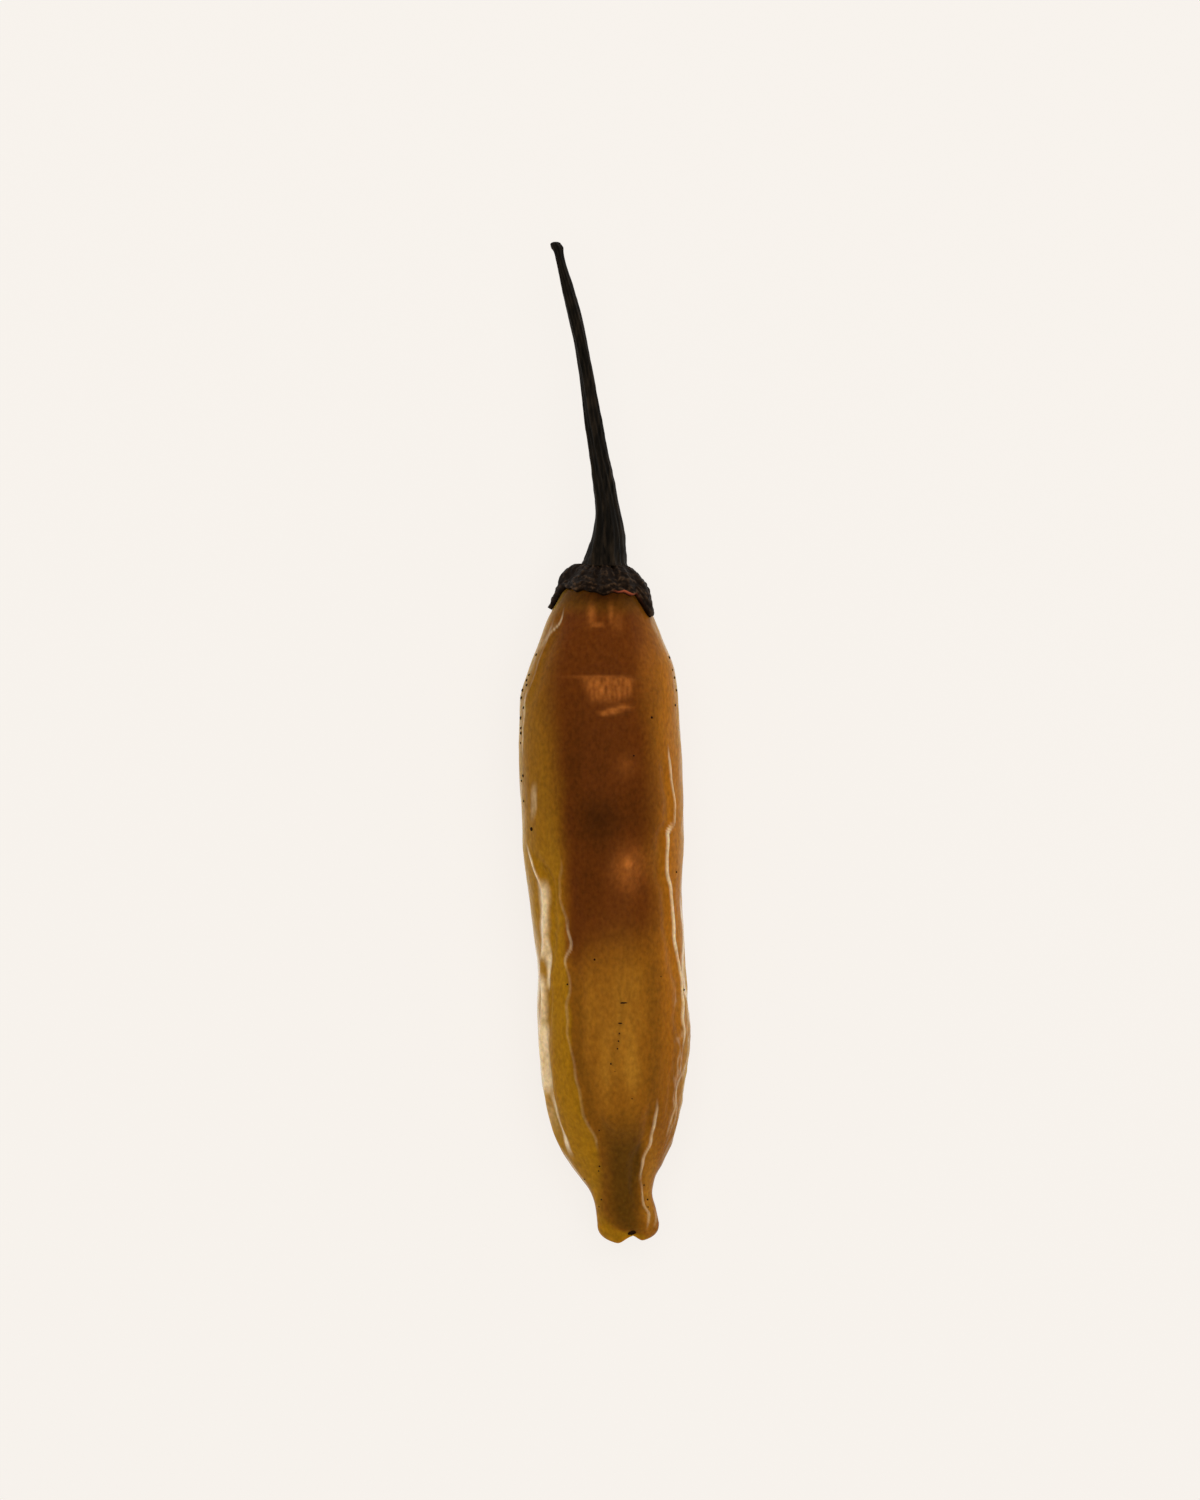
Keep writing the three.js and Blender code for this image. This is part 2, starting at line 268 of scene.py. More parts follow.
def smooth_rows(rows):
    """A smooth curve through rows of (place, value, ...) that never overshoots them."""
    table = np.array(rows, float)
    places, values = table[:, 0], table[:, 1:]
    rate = np.diff(values, axis=0) / np.diff(places)[:, None]
    product = rate[:-1] * rate[1:]
    total = np.where(product > 0, rate[:-1] + rate[1:], 1)
    inner = np.where(product > 0, 2 * product / total, 0)
    slope = np.vstack([rate[:1], inner, rate[-1:]])

    def at(place):
        place = np.asarray(place, float)
        i = np.clip(np.searchsorted(places, place, "right") - 1, 0, len(places) - 2)
        span = places[i + 1] - places[i]
        s = np.clip((place - places[i]) / span, 0, 1)[..., None]
        start = values[i] * (1 + 2 * s) * (1 - s) ** 2
        end = values[i + 1] * s * s * (3 - 2 * s)
        bend = slope[i] * (1 - s) - slope[i + 1] * s
        curve = start + end + span[..., None] * s * (1 - s) * bend
        return np.moveaxis(curve, -1, 0)

    return at


def smoothstep(x, low, high):
    """Rises smoothly from 0 at low to 1 at high."""
    s = np.clip((x - low) / (high - low), 0, 1)
    return s * s * (3 - 2 * s)


def bell(x):
    """A smooth bump that is 1 at 0 and fades out by about 2."""
    return np.exp(-x * x)


def turn_between(a, b):
    """How far turn a lies past turn b, from -180 to 180 degrees."""
    return (a - b + 180) % 360 - 180


def noise_at(points, size, stretch=(1, 1, 1), seed=0):
    """Smooth noise from -1 to 1 at points in mm. size is the width of its lumps."""
    shift = Vector((seed * 17.3, seed * 5.1, seed * 9.7))
    scale = np.array(stretch, float) * size
    flat = (points / scale).reshape(-1, 3)
    values = [noise.noise(Vector(p) + shift) for p in flat]
    return np.array(values).reshape(points.shape[:-1])


pod_outline = smooth_rows(POD_OUTLINE)
pod_side = smooth_rows(POD_SIDE)
pod_axis = smooth_rows(POD_AXIS)


def sections(along):
    """Left and right edge, axis height, rise, drop and axis x of the pod at places along it."""
    place = np.minimum(along, SHOULDER)
    left, right = pod_outline(place)
    height, rise, drop = pod_side(place)
    return left, right, height, rise, drop, pod_axis(place)[0]


def top_turn(along, x):
    """The turn at which the pod's upper side reaches this x, seen from above."""
    left, right, _, _, _, axis = sections(np.asarray(along, float))
    wide = np.where(x > axis, right - axis, axis - left)
    return np.degrees(np.arccos(np.clip((x - axis) / wide, -1, 1)))


def crease_relief(turn, along, radius, wander):
    """How far the creases and their folds move the skin out, in mm."""
    height = np.zeros(np.broadcast(turn, along).shape)
    for places, depth, width, fade, lip, side in CREASES:
        start, end = places[0][0], places[-1][0]
        ends = np.minimum(along - start, end - along)
        fading = smoothstep(ends, 0, fade)
        middle = smooth_rows(places)(along)[0]
        across = np.radians(turn_between(turn, middle)) * radius + wander
        groove = -depth * bell(across / width)
        fold = lip * bell((across - side * CREASE_LIP * width) / width)
        height += fading * (groove + fold)
    return height


def across_line(places, turn, along, radius, wander):
    """How far each point lies from a line on the upper side, in mm, and how far inside its ends."""
    place = np.clip(along, places[0][0], places[-1][0])
    middle = top_turn(place, smooth_rows(places)(place)[0])
    across = (np.radians(turn_between(turn, middle)) * radius + wander) * -np.sign(middle - 90)
    return across, np.minimum(along - places[0][0], places[-1][0] - along)


def fold_relief(turn, along, radius, wander):
    """How far the folds on the upper side move the skin out, in mm."""
    height = np.zeros(np.broadcast(turn, along).shape)
    for places, crest, crest_width, groove, groove_width, fade in FOLDS:
        across, ends = across_line(places, turn, along, radius, wander)
        hollow = groove * bell((across - FOLD_GROOVE * groove_width) / groove_width)
        height += smoothstep(ends, 0, fade) * (crest * bell(across / crest_width) - hollow)
    return height


def mean_radius(along):
    """Half the pod's mean width and height, which turns an angle round it into a distance."""
    left, right, _, rise, drop, _ = sections(along)
    return (right - left + rise + drop) / 4


def dent_relief(turn, along, radius):
    """How far the broad dents and swellings move the skin out, in mm."""
    height = np.zeros(np.broadcast(turn, along).shape)
    for place, middle, length, width, rise in DENTS:
        across = np.radians(turn_between(turn, middle)) * radius
        height += rise * bell((along - place) / length) * bell(across / width)
    return height


def crinkle_relief(points, turn, along):
    """Fine crinkles, strongest along the lower right side and the rims."""
    ridged = 1 - 2.2 * np.abs(noise_at(points, 1.5, (1, 1.9, 1), seed=5))
    fine = 1 - 2.2 * np.abs(noise_at(points, 0.75, (1, 2.2, 1), seed=6))
    right = bell(turn_between(turn, 15) / 32) * smoothstep(along, 8, 13)
    right = right * (1 - smoothstep(along, 23, 32))
    rims = 0.35 * (bell(turn_between(turn, 172) / 22) + bell(turn_between(turn, 5) / 22))
    return (0.11 * ridged + 0.05 * fine) * np.minimum(right + rims, 1)


def strongest_at(turn, table):
    """The strongest, at a turn, of a table of (turn, half-width, strength)."""
    each = [k * bell(turn_between(turn, middle) / width) for middle, width, k in table]
    return np.max(each, axis=0)


def tip_lobe(turn):
    """How strongly the blossom end's lobes stand out at a turn, from 0 to 1."""
    return strongest_at(turn, [(middle, width, 1) for middle, width, _ in TIP_LOBES])


def tip_reach(turn):
    """How much further than the cleft the blossom end reaches at a turn, in mm."""
    return strongest_at(turn, TIP_LOBES)


def pod_base(turn, along, share, relief):
    """Points at a share of the pod's outline, moved out by a relief in mm."""
    left, right, height, rise, drop, axis = sections(along)
    c, s = np.cos(np.radians(turn)), np.sin(np.radians(turn))
    wide = np.where(c > 0, right - axis, axis - left)
    high = np.where(s > 0, rise, drop)
    lobed = TIP_LOBE_SWELL * (2 * tip_lobe(turn) - 1) * (1 - smoothstep(along, 3, 9))
    swell = 1 + lobed + relief / np.hypot(wide * c, high * s)
    x = axis + share * swell * wide * c
    z = height + share * swell * high * s
    y = np.broadcast_to(along, x.shape)
    return np.stack([x, y, z], axis=-1)


def shoulder_share(along):
    """The share of the shoulder's outline that the pod has left as it closes under the calyx."""
    full = POD_TOP - SHOULDER_CENTRE
    risen = np.maximum(along - SHOULDER_CENTRE, 0) / full
    reach = np.maximum(0, 1 - risen**SHOULDER_POWER) ** (1 / SHOULDER_POWER)
    start = (1 - ((SHOULDER - SHOULDER_CENTRE) / full) ** SHOULDER_POWER) ** (1 / SHOULDER_POWER)
    return np.where(along > SHOULDER, reach / start, 1)


def pod_surface(turn, along, share, fine=True):
    """Points of the pod's skin at a grid of turns and places along it, and how far its folds wander."""
    radius = mean_radius(along)
    plain = pod_base(turn, along, share, 0)
    wander = FOLD_WANDER * noise_at(plain, 1.7, seed=1) if fine else 0
    relief = crease_relief(turn, along, radius, CREASE_WANDER * wander)
    relief += dent_relief(turn, along, radius)
    relief += fold_relief(turn, along, radius, wander)
    if fine:
        strength = smoothstep(along, 1, 8) * (1 - smoothstep(along, 58, 66))
        for height, size, stretch, seed in SKIN_LUMPS:
            relief += height * strength * noise_at(plain, size, stretch, seed)
        relief += strength * crinkle_relief(plain, turn, along)
    points = pod_base(turn, along, share, relief)
    points[..., 2] = np.maximum(points[..., 2], 0)
    return points, wander


def skin_object(name, rings, first_pole, last_pole):
    """A closed skin from rings of points between two poles, in mm of the fruit's own measure."""
    count, sides = rings.shape[:2]
    points = np.vstack([first_pole, rings.reshape(-1, 3), last_pole])
    last = len(points) - 1
    ring, side = np.meshgrid(np.arange(count - 1), np.arange(sides), indexing="ij")
    here = 1 + ring * sides + side
    beside = 1 + ring * sides + (side + 1) % sides
    quads = np.stack([here, here + sides, beside + sides, beside], axis=-1).reshape(-1, 4)
    around = np.arange(sides)
    turned = (around + 1) % sides
    final = 1 + (count - 1) * sides
    fan = [(0, 1 + a, 1 + b) for a, b in zip(around, turned)]
    cap = [(last, final + b, final + a) for a, b in zip(around, turned)]
    mesh = bpy.data.meshes.new(name)
    mesh.from_pydata((points * MM).tolist(), [], quads.tolist() + fan + cap)
    mesh.validate()
    mesh.shade_smooth()
    obj = bpy.data.objects.new(name, mesh)
    bpy.context.scene.collection.objects.link(obj)
    return obj


def add_mask(obj, name, rings, poles):
    """A float attribute of the mesh, from a value for each point of its rings and for its two poles."""
    values = np.concatenate([[poles[0]], np.clip(rings, 0, 1).ravel(), [poles[1]]])
    attribute = obj.data.attributes.new(name, "FLOAT", "POINT")
    attribute.data.foreach_set("value", values.astype(np.float32))


# Where the skin's colour changes on the upper side: along, x, and half the width of the change
OLIVE_EDGE = [
    (0, 5.0, 0.8),
    (0.8, 4.0, 0.9),
    (1.8, 0.8, 0.9),
    (3.6, -0.3, 0.7),
    (9.6, -0.4, 0.4),
    (13.6, -1.9, 0.25),
    (19.6, -3.1, 0.25),
    (26, -3.6, 0.25),
    (36, -4.2, 0.6),
    (50, -3.8, 1.3),
    (62, -3.6, 1.3),
    (65, -2.2, 0.8),
]
# The edges of the red-brown middle, which is painted shade: along, x, and half the width of the change
BAND_LEFT = [
    (28, -3.2, 0.5),
    (36, -3.5, 0.7),
    (39, -3.8, 1.1),
    (43, -4.4, 1.3),
    (50, -5.1, 2.0),
    (56, -5.9, 2.3),
    (60, -5.3, 1.8),
    (64, -4.6, 1.2),
]
BAND_RIGHT = [
    (28, 5.2, 1.5),
    (35, 5.3, 1.6),
    (38.6, 4.4, 1.8),
    (42.6, 5.0, 2.0),
    (47, 4.9, 1.8),
    (51, 4.6, 1.7),
    (55, 4.4, 2.0),
    (60, 4.3, 1.8),
    (64, 3.7, 1.2),
]

# Soft patches on the upper side, of painted glow, painted light and painted shade: along, x,
# half-length, half-width, strength
PAINTED_GLOW_PATCHES = [
    (53.2, 0.0, 0.22, 0.5, 0.9),
    (53.45, 0.9, 0.3, 0.7, 0.95),
    (53.8, 1.9, 0.28, 0.8, 0.65),
    (48.1, 2.1, 1.2, 1.0, 0.2),
    (37.9, 2.5, 2.0, 1.5, 0.6),
    (38.4, 2.4, 0.95, 0.6, 1.1),
    (63.0, -1.25, 0.95, 0.4, 0.5),
    (61.95, -0.75, 0.22, 0.65, 0.6),
    (63.0, 0.7, 1.0, 0.28, 0.4),
    (62.2, 1.3, 1.0, 0.65, 0.22),
    (59.0, 4.2, 4.0, 1.2, 0.2),
]
# Patches of painted light
PAINTED_LIGHT_PATCHES = [
    (19.0, 2.6, 4.5, 1.0, 0.95),
    (19.5, 0.2, 5.0, 1.0, 0.8),
    (26.0, 2.8, 3.0, 1.2, 0.55),
    (23.0, -1.3, 6.0, 0.9, 0.4),
    (22.0, 1.3, 7.0, 2.5, 0.7),
    (5.5, 4.7, 4.5, 0.8, 0.9),
]
WINDOW = (55.4, 0.45, 1.35, 2.8)  # a patch of painted glow on the shoulder: along, x, half-length, half-width
# The darkest parts of the middle's painted shade
CORE_SHADE_PATCHES = [
    (42.6, -0.5, 3.6, 3.0, 0.85),
    (47.5, -2.9, 6.0, 1.4, 0.5),
    (43.4, 3.0, 3.0, 1.8, 0.5),
    (48.5, -0.3, 4.5, 2.8, 0.25),
    (37.0, -1.6, 3.5, 1.6, 0.3),
]
RIM_DARK = (64.9, 0.0, 1.2, 3.4, 1.05)  # in the calyx's shade

# Lines on the upper side, painted highlights and painted shade, which wander as the folds do: places as
# (along, x), half-width, strength
HIGHLIGHT_LINES = [
    ([(35.4, -6.0), (36.6, -6.2), (38.3, -6.95), (40.3, -7.6)], 0.18, 0.85),
    ([(28.5, -5.8), (31.6, -5.9), (34.6, -5.95), (36.8, -6.15)], 0.56, 1.0),
    ([(25.6, -5.9), (28.6, -5.65), (32.0, -5.75)], 0.34, 0.95),
    ([(22.0, -6.1), (24.6, -6.15), (27.6, -6.3)], 0.6, 0.95),
    ([(15.0, -5.5), (16.6, -5.7), (20.6, -6.1), (23.0, -6.15)], 0.8, 1.0),
    ([(9.0, -3.2), (12.0, -4.3), (16.0, -5.45)], 0.35, 0.95),
    ([(27.5, -3.7), (28.6, -3.9), (30.1, -3.4), (33.0, -3.75)], 0.13, 0.3),
    (LEFT_FOLD, 0.13, 0.09),
    (RIGHT_FOLD[:9], 0.18, 0.9),
    (RIGHT_FOLD[7:], 0.14, 0.55),
    (TIP_FOLD[3:], 0.13, 0.52),
    (TIP_FOLD[:4], 0.12, 0.38),
    ([(60.0, -6.0), (61.0, -5.4), (62.0, -4.6), (62.9, -4.15), (63.8, -3.95)], 0.12, 0.4),
    ([(59.4, -6.5), (61.0, -5.5), (62.3, -4.7)], 0.4, 0.2),
    ([(60.6, 5.5), (62.1, 4.9), (63.6, 4.6)], 0.35, 0.22),
    ([(22.6, 8.3), (24.6, 8.15), (26.6, 7.9), (28.6, 7.85), (30.6, 7.9), (35.0, 7.6)], 0.45, 0.65),
    ([(11.0, 6.2), (13.5, 6.9), (16.0, 7.3), (18.0, 7.9)], 0.15, 0.4),
    ([(1.8, 4.9), (2.6, 5.05), (3.6, 4.8)], 0.2, 0.45),
    ([(5.4, -1.25), (6.6, -2.1), (8.1, -3.25), (9.4, -4.05)], 0.2, 0.35),
    ([(42.5, -7.1), (44.0, -7.0), (46.5, -6.9)], 0.35, 0.25),
    ([(49.0, -8.1), (52.0, -8.0), (56.0, -7.6)], 0.2, 0.4),
]
# Lines of painted shade
SHADE_LINES = [
    ([(9.0, 0.7), (11.0, 0.2), (13.5, -1.2), (16.6, -1.9), (20.0, -2.6), (28.0, -2.9)], 0.65, 0.4),
    ([(11.0, 4.0), (14.0, 4.8), (22.0, 5.0), (29.0, 4.8)], 0.8, 0.32),
    ([(13.0, 6.3), (18.0, 7.0), (24.0, 6.9)], 0.3, 0.25),
    ([(18.5, 0.8), (21.0, 1.4), (23.0, 1.7), (26.5, 1.6)], 0.16, 0.3),
]
LINE_SPILL = 1.25  # how much further a line reaches on the side away from the top


def patches(table, along, x):
    """The strongest of a table of soft oval patches at each point."""
    each = [k * bell((along - a) / length) * bell((x - b) / width) for a, b, length, width, k in table]
    return np.max(each, axis=0)


def lines(table, turn, along, wander, crispness):
    """The strongest of a table of lines at each point. Their edges are soft at a crispness of 2."""
    strongest = np.zeros(wander.shape)
    radius = mean_radius(along)
    for places, width, strength in table:
        across, ends = across_line(places, turn, along, radius, wander)
        reach = np.where(across < 0, width * LINE_SPILL, width)
        line = strength * np.exp(-np.abs(across / reach) ** crispness) * smoothstep(ends, -0.3, 1.5)
        strongest = np.maximum(strongest, line)
    return strongest


def beyond(table, along, x):
    """How far each point lies to the right of a soft edge, from 0 to 1."""
    edge, softness = smooth_rows(table)(along)
    return smoothstep(x - edge, -softness, softness)


def window_mask(along, points):
    """The patch of painted glow on the shoulder, with a crisp upper edge and fine hatching down it."""
    middle, x_middle, half_length, half_width = WINDOW
    down = (middle + half_length - along) / (2 * half_length)
    narrowing = half_width * (1 - 0.25 * np.clip(down, 0, 1))
    sides = 1 - smoothstep(np.abs(points[..., 0] - x_middle), 0.6 * narrowing, 1.15 * narrowing)
    ends = smoothstep(down, -0.04, 0.05) * (1 - smoothstep(down, 0.5, 1.15))
    hatch = 0.6 + 0.5 * noise_at(points, 0.3, (1, 5, 1), seed=15) + 0.3 * noise_at(points, 0.55, seed=16)
    line = 0.45 * bell((along - middle - half_length - 0.05) / 0.12) * bell((points[..., 0] + 0.3) / 2.9)
    return np.maximum(sides * ends * hatch * 0.8, line)


def paint_pod(obj, points, turn, wander):
    """Gives the pod the masks that its colours are mixed by; most of them are painted shade, painted
    light and painted highlights.
    """
    x, along = points[..., 0], points[..., 1]
    top = smoothstep(points[..., 2], 4.5, 8.0)
    grain = noise_at(points, 2.2, (1, 1.6, 1), seed=11)
    soft = noise_at(points, 6.0, (1, 1.5, 1), seed=12)
    wavy = x + 0.35 * grain + 0.3 * soft

    # Olive on the left, lime near the blossom end there, and gold along the right
    olive = 1 - beyond(OLIVE_EDGE, along, x - wander + 0.15 * grain)
    lime = olive * (1 - smoothstep(along, 30, 50))
    gold = smoothstep(wavy, 4.6, 6.6) * smoothstep(along, 6, 34)
    add_mask(obj, "olive", olive, (0.5, 0.5))
    add_mask(obj, "lime", lime, (0.5, 0))
    add_mask(obj, "gold", gold, (0, 0.5))

    # Painted shade: the red-brown middle, where the core shows dark through the skin, its darker parts,
    # and the shade under the calyx's edge
    band = beyond(BAND_LEFT, along, wavy) * (1 - beyond(BAND_RIGHT, along, wavy))
    length = smoothstep(along + 0.8 * grain - 0.3 * x, 26.2, 33.0)
    length = length * (1 - 0.6 * smoothstep(along, 62.8, 64.6))
    add_mask(obj, "middle_shade", band * length * (0.5 + 0.5 * top), (0, 0.4))
    # The dark mask is painted shade, of the core and under the calyx's edge
    dark = patches(CORE_SHADE_PATCHES, along, x) * length * (0.9 + 0.3 * grain)
    dark = np.maximum(dark, patches([RIM_DARK], along, x))
    add_mask(obj, "dark", dark * (0.3 + 0.7 * top), (0, 1))

    # Painted shade: brown on the neck, under the calyx and in lines
    edge = smooth_rows(OLIVE_EDGE)(along)[0]
    neck_left = smoothstep(x - edge + 0.2 * grain, -0.9, 1.9)
    neck_right = 1 - smoothstep(x - wander, 2.6 + 0.7 * smoothstep(along, 5.5, 8.5), 4.2)
    neck_ends = smoothstep(along, 0.5, 1.9) * (1 - smoothstep(along, 9.0, 15.5))
    calyx_shade = 0.85 * smoothstep(along + 0.3 * grain, 62.5, 64.8)
    shade = np.maximum(neck_left * neck_right * neck_ends, calyx_shade)
    shade = np.maximum(shade, lines(SHADE_LINES, turn, along, wander, 2) * (0.9 + 0.5 * grain))
    add_mask(obj, "shade", shade * (0.4 + 0.6 * top), (0.6, 0))

    # Painted light: bright patches, and patches of painted glow
    add_mask(obj, "painted_light", patches(PAINTED_LIGHT_PATCHES, along, x) * top * (0.9 + 0.5 * grain), (0, 0))
    glow = np.maximum(patches(PAINTED_GLOW_PATCHES, along, x) * (0.9 + 0.4 * grain), window_mask(along, points))
    add_mask(obj, "glow", glow * top, (0, 0))

    # Painted highlights: the pale sides, the pale lines and the crests of the crinkles
    streaky = 0.95 + 0.5 * noise_at(points, 0.5, (1, 6, 1), seed=13)
    rim = 0.8 * bell(turn_between(turn, 180) / 16) + 0.65 * bell(turn_between(turn, 0) / 16)
    uneven = 0.85 + 0.35 * noise_at(points, 1.1, (1, 6, 1), seed=14)
    add_mask(obj, "rim", rim * uneven * smoothstep(along, 5, 13), (0, 0))
    pale = lines(HIGHLIGHT_LINES, turn, along, wander, 3.5) * streaky
    low_down = smoothstep(along, 10, 14) * (1 - smoothstep(along, 28, 34))
    lower_left = low_down * bell(turn_between(turn, 176) / 13)
    crests = smoothstep(crinkle_relief(points, turn, along), 0.09, 0.14)
    pale = np.maximum(pale, np.maximum(0.75 * lower_left * streaky, 0.22 * crests))
    add_mask(obj, "pale", pale, (0, 0))


def even_turns(sides):
    """Turns spaced evenly all the way round."""
    return np.arange(sides) * 360.0 / sides


def make_pod():
    """The pod's skin, and the rings of points that it is made of, which the specks are set on.

    Its rings are closer together towards the blossom end's rim and towards the top.
    """
    start, end = UPPER_TURNS
    above = np.linspace(start, end, POD_TURNS_ABOVE, endpoint=False)
    below = np.linspace(end, start + 360, POD_TURNS_BELOW, endpoint=False)
    turn = np.concatenate([above, below])[None, :]
    share = np.sin(np.linspace(0.03, 0.5 * np.pi, POD_TIP_RINGS))[:-1, None] ** 0.8
    tip, tip_wander = pod_surface(turn, np.full_like(share, TIP_RING), share)
    outer = smoothstep(share, 0, 0.45)
    deepest = TIP_PIT + outer * (TIP_CLEFT - TIP_PIT + tip_reach(turn))
    power = TIP_POWER - TIP_ROUNDER * np.sin(np.radians(turn)) ** 2
    tip[..., 1] = TIP_RING - deepest * (1 - share**power) ** (1 / power)
    tip[..., 2] += TIP_PIT_LIFT * (1 - smoothstep(share, 0, 0.9))

    body = np.linspace(TIP_RING, SHOULDER, POD_RINGS)
    top = POD_TOP - (POD_TOP - SHOULDER) * np.linspace(1, 0.02, POD_TOP_RINGS)[1:] ** 1.4
    along = np.concatenate([body, top])[:, None]
    skin, skin_wander = pod_surface(turn, along, shoulder_share(along))
    rings = np.vstack([tip, skin])
    obj = skin_object("pod_skin", rings, tip[0].mean(axis=0), rings[-1].mean(axis=0))
    paint_pod(obj, rings, turn, np.vstack([tip_wander, skin_wander]))
    return obj, rings


# Dark specks on the upper side: along, x, radius
SPECKS = [
    (59.1, -6.75, 0.15),
    (57.2, -7.7, 0.14),
    (56.6, -7.7, 0.15),
    (56.1, -7.7, 0.15),
    (55.5, -8.2, 0.17),
    (54.7, -8.25, 0.17),
    (53.8, -8.3, 0.15),
    (52.9, -8.3, 0.17),
    (51.9, -8.4, 0.15),
    (51.2, -8.4, 0.17),
    (50.4, -8.3, 0.13),
    (47.0, -8.2, 0.15),
    (46.5, -8.2, 0.12),
    (44.4, -8.0, 0.12),
    (41.7, -7.2, 0.2),
    (58.9, 6.5, 0.16),
    (57.6, 6.95, 0.12),
    (56.9, 7.1, 0.14),
    (55.5, 7.2, 0.13),
    (54.0, 7.3, 0.13),
    (52.7, 4.7, 0.13),
    (49.0, 2.9, 0.09),
    (37.5, 7.2, 0.11),
    (29.0, -0.9, 0.11),
    (27.2, 5.65, 0.07),
    (26.4, -3.6, 0.1),
    (25.6, 7.95, 0.13),
    (21.6, 1.5, 0.08),
    (21.0, 1.4, 0.09),
    (20.2, 1.3, 0.08),
    (18.7, 0.7, 0.1),
    (17.8, 1.1, 0.05),
    (15.2, 2.8, 0.07),
    (12.0, -0.5, 0.07),
    (8.1, -0.45, 0.1),
    (7.5, -0.55, 0.08),
    (6.6, -1.95, 0.09),
    (4.7, -0.25, 0.09),
    (3.9, -0.5, 0.08),
    (6.0, 4.0, 0.08),
    (4.6, 4.35, 0.1),
    (3.9, 4.4, 0.08),
]
# Specks that are wider than long: along, x, radius, how much wider
LONG_SPECKS = [(24.6, 1.9, 0.08, 4.5), (22.8, 1.6, 0.07, 3.2), (1.25, 2.8, 0.26, 1.6)]
SPECK_SCATTER = 0.07  # how unevenly high those on the outline lie, as a share of the pod's height
SPECK_HEIGHT = 0.65  # a speck's own height, as a share of its radius


def blob(mesh, point, across, normal, radius, stretch, seed):
    """Adds a small, flat, uneven lump that sits on the skin."""
    turn_to_skin = Matrix((across, normal.cross(across), normal)).transposed()
    made = bmesh.ops.create_icosphere(mesh, subdivisions=2, radius=radius)
    for vertex in made["verts"]:
        shape = vertex.co * (1 + 0.3 * noise.noise(vertex.co / radius + Vector((seed, 0, 0))))
        vertex.co = point + turn_to_skin @ Vector((stretch * shape.x, shape.y, SPECK_HEIGHT * shape.z))


def make_specks(rings):
    """The dark specks and the style scar, as low lumps on the skin.

    Those on the outline lie at uneven heights on the pod's side.
    """
    mesh = bmesh.new()
    height = rings[..., 2] - rings[..., 2].mean(axis=1, keepdims=True)
    height /= np.ptp(rings[..., 2], axis=1, keepdims=True)
    marks = [(*speck, 1) for speck in SPECKS] + LONG_SPECKS
    for seed, (along, x, radius, stretch) in enumerate(marks):
        upper = height > SPECK_SCATTER * (np.sin(2.4 * seed) - 1)
        far = np.where(upper, np.hypot(rings[..., 1] - along, rings[..., 0] - x), np.inf)
        ring, side = np.unravel_index(np.argmin(far), far.shape)
        ring = min(max(ring, 1), len(rings) - 2)
        point = Vector(rings[ring, side])
        around = (Vector(rings[ring, (side + 1) % rings.shape[1]]) - point).normalized()
        onward = Vector(rings[ring + 1, side]) - point
        normal = around.cross(onward).normalized()
        blob(mesh, point, around, normal, radius, stretch, seed)
    for vertex in mesh.verts:
        vertex.co *= MM
    data = bpy.data.meshes.new("skin_specks")
    mesh.to_mesh(data)
    mesh.free()
    data.shade_smooth()
    obj = bpy.data.objects.new("skin_specks", data)
    bpy.context.scene.collection.objects.link(obj)
    return obj


def shoulder_cover(turn, along, out):
    """Points this far out from the pod's shoulder."""
    point, _ = pod_surface(turn, along, shoulder_share(along), fine=False)
    turned, _ = pod_surface(turn + 1, along, shoulder_share(along), fine=False)
    lower, _ = pod_surface(turn, along - 0.05, shoulder_share(along - 0.05), fine=False)
    normal = np.cross(turned - point, lower - point)
    normal /= np.linalg.norm(normal, axis=-1, keepdims=True)
    return point + normal * out[..., None]


